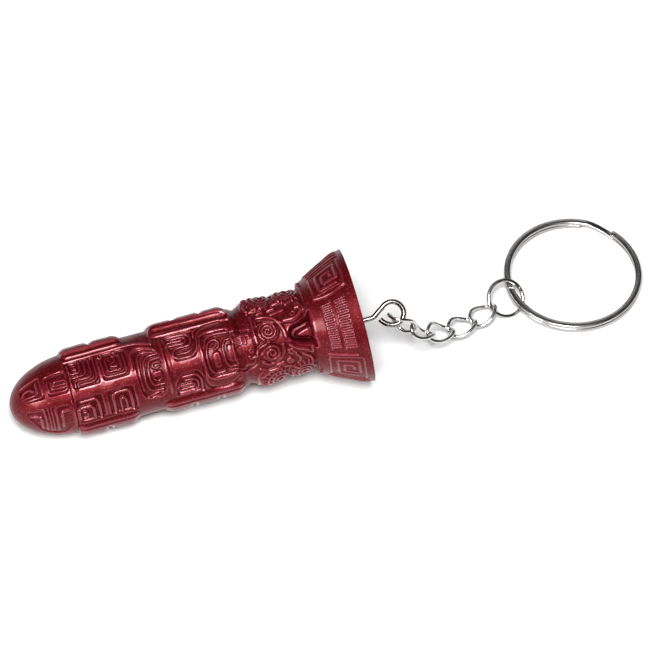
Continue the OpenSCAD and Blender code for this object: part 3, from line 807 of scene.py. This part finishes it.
def split_ring():
    """Flat wire wound twice: it lies low for one turn, climbs by one coil over the jog, and lies
    high for the next. Its section is a rounded rectangle: half its width times the cosine to the
    power 0.62, and half its height times the sine to the same power. Its ends narrow by a fifth,
    as a quarter circle."""
    centre = np.array(frame["record"]["mounts"][0]["pos_m"]) / MM
    downhill, level, normal = leaned(SPLIT_LEAN, SPLIT_LEAN_TURN)
    length = 2 * np.pi - JOG_SPAN / 2 - JOG_CLEAR
    u = np.linspace(0, 2 * length, 520)
    rise = COIL_H + COIL_GAP
    height = -rise / 2 + rise * ease((u - length + JOG_SPAN / 2) / JOG_SPAN)
    sides = 28
    turn = 2 * np.pi * np.arange(sides) / sides
    across = np.sign(np.cos(turn)) * np.abs(np.cos(turn)) ** 0.62 * SPLIT_W / 2
    up = np.sign(np.sin(turn)) * np.abs(np.sin(turn)) ** 0.62 * COIL_H / 2
    from_end = np.clip(np.minimum(u, 2 * length - u) * SPLIT_R / 0.14, 0, 1)
    shrink = 1 - 0.22 * (1 - np.sqrt(1 - (1 - from_end) ** 2))
    angle = (JOG_TURN + u)[:, None]
    radius = SPLIT_R - SPLIT_W / 2 + across[None, :] * shrink[:, None]
    z = height[:, None] + up[None, :] * shrink[:, None]
    shape = [radius * np.cos(angle), radius * np.sin(angle), z]
    points = sum(x[..., None] * d for x, d in zip(shape, (downhill, level, normal))) + centre
    middle = points.mean(1)[[0, -1]]
    piece = make_piece("split_ring_wire", np.concatenate([points.reshape(-1, 3), middle]),
                       grid_faces(len(u), sides))
    return stand_for(piece, "split_ring", "split_ring")


# ---------------------------------------------------------------- materials

class Socket:
    """A shader value: arithmetic on it adds Math nodes."""

    def __init__(self, tree, socket):
        self.tree, self.socket = tree, socket

    def math(self, operation, *values):
        return self.tree.node("ShaderNodeMath", {"operation": operation}, dict(enumerate(values)))

    def __add__(self, other): return self.math("ADD", self, other)
    def __radd__(self, other): return self.math("ADD", other, self)
    def __sub__(self, other): return self.math("SUBTRACT", self, other)
    def __rsub__(self, other): return self.math("SUBTRACT", other, self)
    def __mul__(self, other): return self.math("MULTIPLY", self, other)
    def __rmul__(self, other): return self.math("MULTIPLY", other, self)

    def step(self, low, high):
        """0 below low, 1 above high, smooth between."""
        return self.tree.node(
            "ShaderNodeMapRange", {"interpolation_type": "SMOOTHSTEP"},
            {"Value": self, "From Min": low, "From Max": high})


class Finish:
    """A material's node tree."""

    def __init__(self, name, **uniform):
        self.material = bpy.data.materials.new(name)
        self.material.use_nodes = True
        self.tree = self.material.node_tree
        self.shader = self.tree.nodes["Principled BSDF"]
        self.set(**uniform)

    def node(self, kind, settings=None, inputs=None, output=0):
        """Adds a node: settings first, then its inputs by name or number."""
        made = self.tree.nodes.new(kind)
        for key, value in (settings or {}).items():
            setattr(made, key, value)
        for key, value in (inputs or {}).items():
            self.put(made.inputs[key], value)
        return Socket(self, made.outputs[output])

    def put(self, target, value):
        if isinstance(value, Socket):
            self.tree.links.new(value.socket, target)
        else:
            target.default_value = value

    def set(self, **values):
        for key, value in values.items():
            self.put(self.shader.inputs[key.replace("_", " ")], value)

    def place(self):
        """Object coordinates, in metres."""
        return self.node("ShaderNodeTexCoord", output="Object")

    def noise(self, size_mm, detail=2.0, rough=0.5):
        """Noise with features of about size_mm."""
        return self.node("ShaderNodeTexNoise", {}, {
            "Vector": self.place(), "Scale": 1 / (size_mm * MM), "Detail": detail,
            "Roughness": rough})

    def mix(self, share, first, second):
        """A colour between two, by share."""
        return self.node("ShaderNodeMix", {"data_type": "RGBA"}, {0: share, 6: first, 7: second}, 2)

    def bump(self, height, depth_mm, strength=1.0):
        return self.node("ShaderNodeBump", {}, {
            "Height": height, "Distance": depth_mm * MM, "Strength": strength})


def crimson_pearl():
    """Pearlescent crimson paint over a casting: painted shade makes it a deeper wine in the hollows,
    and a painted highlight makes it brighter on the crests, with fine mica flakes and a soft clear coat."""
    f = Finish("crimson_pearl", Metallic=0.5, IOR=1.5, Specular_IOR_Level=0.18,
               Coat_Roughness=0.1, Coat_IOR=1.5)
    recess = f.node("ShaderNodeAttribute", {"attribute_name": "recess"}, output="Fac")
    cloud = f.noise(3.5, 3.0, 0.55)
    grain = f.noise(0.22, 2.0, 0.6)
    flake = f.node("ShaderNodeTexVoronoi", {}, {"Vector": f.place(), "Scale": 1 / (0.16 * MM)},
                   "Color")
    flake = f.node("ShaderNodeSeparateColor", {}, {"Color": flake}, "Red")
    # hollow darkens the paint in the hollows as painted shade
    hollow = recess.step(0.3, 0.85)
    # crest lightens the paint on the crests as a painted highlight, and also gives them more clear coat
    # and less roughness
    crest = 1 - recess.step(0.02, 0.36)
    sparkle = flake.step(0.9, 1.0)
    crimson, painted_hollow_shade = (0.104, 0.0015, 0.004, 1), (0.064, 0.001, 0.002, 1)
    dusky, painted_crest_highlight, mica = (0.075, 0.001, 0.003, 1), (0.36, 0.025, 0.062, 1), (0.45, 0.12, 0.15, 1)
    # Painted shade: the paint turns a darker wine in the hollows
    body = f.mix(hollow, crimson, painted_hollow_shade)
    body = f.mix(cloud.step(0.3, 0.75) * 0.4, body, dusky)
    # Painted highlight: the crests' paint is lighter pink, standing in for the light they catch
    body = f.mix(crest * 0.35, body, painted_crest_highlight)
    body = f.mix(sparkle * 0.3, body, mica)
    # The flat end face has no clear coat: it is where the distance along the axis is greatest
    along = f.node("ShaderNodeVectorMath", {"operation": "DOT_PRODUCT"},
                   {0: f.place(), 1: tuple(AXIS)}, "Value") - float(BASE_CENTRE @ AXIS) * MM
    end_face = along.step(-0.03 * MM, -0.01 * MM)
    rough = 0.32 + 0.1 * cloud + 0.06 * grain - 0.1 * crest + 0.3 * end_face
    f.set(Base_Color=body, Roughness=rough, Coat_Weight=(0.1 + 0.6 * crest) * (1 - end_face))
    waves = f.noise(1.1, 3.0, 0.6)
    f.set(Normal=f.bump(waves * 0.8 + grain * 0.25, 0.12, 0.8))
    return f.material


def nickel(name, tint, rough, tarnish, wear_mm):
    """Bright nickel plate on steel wire: a cloudy film with patches of wear_mm, a fine grain and
    small dings."""
    f = Finish(name, Metallic=1.0)
    cloud = f.noise(wear_mm, 3.0, 0.6)
    fine = f.noise(0.18, 2.0, 0.6)
    ding = f.noise(0.7, 1.0, 0.4)
    dull = tuple(c * 0.55 for c in tint[:3]) + (1,)
    colour = f.mix(cloud.step(0.45, 0.8) * tarnish, tint, dull)
    f.set(Base_Color=colour, Roughness=rough + 0.12 * cloud.step(0.4, 0.8) + 0.04 * fine)
    f.set(Normal=f.bump(ding * 0.6 + fine * 0.12, 0.03, 0.35))
    return f.material


def give(material, *pieces):
    """Assigns one material to each piece."""
    for piece in pieces:
        piece.data.materials.clear()
        piece.data.materials.append(material)


give(crimson_pearl(), *PENDANT_PIECES)
give(nickel("eye_nickel", (0.2, 0.185, 0.175, 1), 0.13, 0.5, 1.6), screw_eye())
give(nickel("link_nickel", (0.62, 0.61, 0.595, 1), 0.09, 0.4, 1.1),
     *[chain_link(i) for i in range(len(LINKS))])
give(nickel("jump_ring_nickel", (0.54, 0.53, 0.515, 1), 0.1, 0.4, 1.3), jump_ring())
give(nickel("split_ring_nickel", (0.46, 0.445, 0.435, 1), 0.17, 0.45, 2.4), split_ring())


# ---------------------------------------------------------------- floor, light and camera

def floor():
    """A plain pale floor, wide enough to fill every view of the keychain."""
    reach = 8.0
    points = [(-reach, -reach, 0), (reach, -reach, 0), (reach, reach, 0), (-reach, reach, 0)]
    mesh = bpy.data.meshes.new("floor")
    mesh.from_pydata(points, [], [(0, 1, 2, 3)])
    made = bpy.data.objects.new("floor", mesh)
    bpy.context.scene.collection.objects.link(made)
    f = Finish("pale_floor", Roughness=0.85, Specular_IOR_Level=0.2)
    f.set(Base_Color=f.mix(f.noise(60, 2.0), (0.9, 0.9, 0.9, 1), (0.93, 0.93, 0.93, 1)))
    give(f.material, made)


CAMERA_TURN = np.radians(-15.0)
CAMERA_RISE = np.radians(53.6)
CAMERA_BACK = np.array([np.sin(CAMERA_TURN) * np.cos(CAMERA_RISE),
                        -np.cos(CAMERA_TURN) * np.cos(CAMERA_RISE), np.sin(CAMERA_RISE)])
CAMERA_RIGHT = np.array([np.cos(CAMERA_TURN), np.sin(CAMERA_TURN), 0.0])
CAMERA_UP = np.cross(CAMERA_BACK, CAMERA_RIGHT)
# How much the camera takes in from side to side, and its aim from the base's centre
VIEW_WIDTH = 117.4
AIM_LEFT = 5.71
AIM_DOWN = 1.82
LENS = 1500.0
SENSOR = 36.0


def camera():
    """A very long lens, far off, that takes in the whole keychain."""
    data = bpy.data.cameras.new("camera")
    data.lens = LENS
    data.sensor_width = SENSOR
    made = bpy.data.objects.new("camera", data)
    bpy.context.scene.collection.objects.link(made)
    aim = BASE_CENTRE - AIM_LEFT * CAMERA_RIGHT - AIM_DOWN * CAMERA_UP
    distance = VIEW_WIDTH / 2 * LENS / (SENSOR / 2)
    made.location = Vector((aim + distance * CAMERA_BACK) * MM)
    made.rotation_mode = "QUATERNION"
    made.rotation_quaternion = Vector(-CAMERA_BACK).to_track_quat("-Z", "Y")
    bpy.context.scene.camera = made


def softbox(name, turn, rise, distance, size, power):
    """A flat soft light aimed at the keychain, by its heading and its height in degrees, with its
    distance and its width and height in metres and its power in watts."""
    turn, rise = np.radians(turn), np.radians(rise)
    data = bpy.data.lights.new(name, "AREA")
    data.shape = "RECTANGLE"
    data.size, data.size_y = size
    data.energy = power
    made = bpy.data.objects.new(name, data)
    made.visible_camera = False
    bpy.context.scene.collection.objects.link(made)
    out = Vector((np.sin(turn) * np.cos(rise), -np.cos(turn) * np.cos(rise), np.sin(rise)))
    made.location = out * distance
    made.rotation_mode = "QUATERNION"
    made.rotation_quaternion = (-out).to_track_quat("-Z", "Y")


def light():
    """A nearly dark room, with a key light, a side light, and weak ones above and behind."""
    world = bpy.data.worlds.new("studio")
    world.use_nodes = True
    back = world.node_tree.nodes["Background"]
    back.inputs["Color"].default_value = (1, 1, 1, 1)
    back.inputs["Strength"].default_value = 0.05
    bpy.context.scene.world = world
    softbox("key", -16, 63, 0.9, (0.28, 0.28), 10.0)
    softbox("side", -65, 27, 1.1, (0.34, 0.34), 9.0)
    softbox("overhead", 0, 89, 1.1, (0.8, 0.8), 0.9)
    softbox("back", 165, 38, 1.4, (0.7, 0.4), 0.9)
    bpy.context.scene.view_settings.view_transform = "Standard"


floor()
camera()
light()
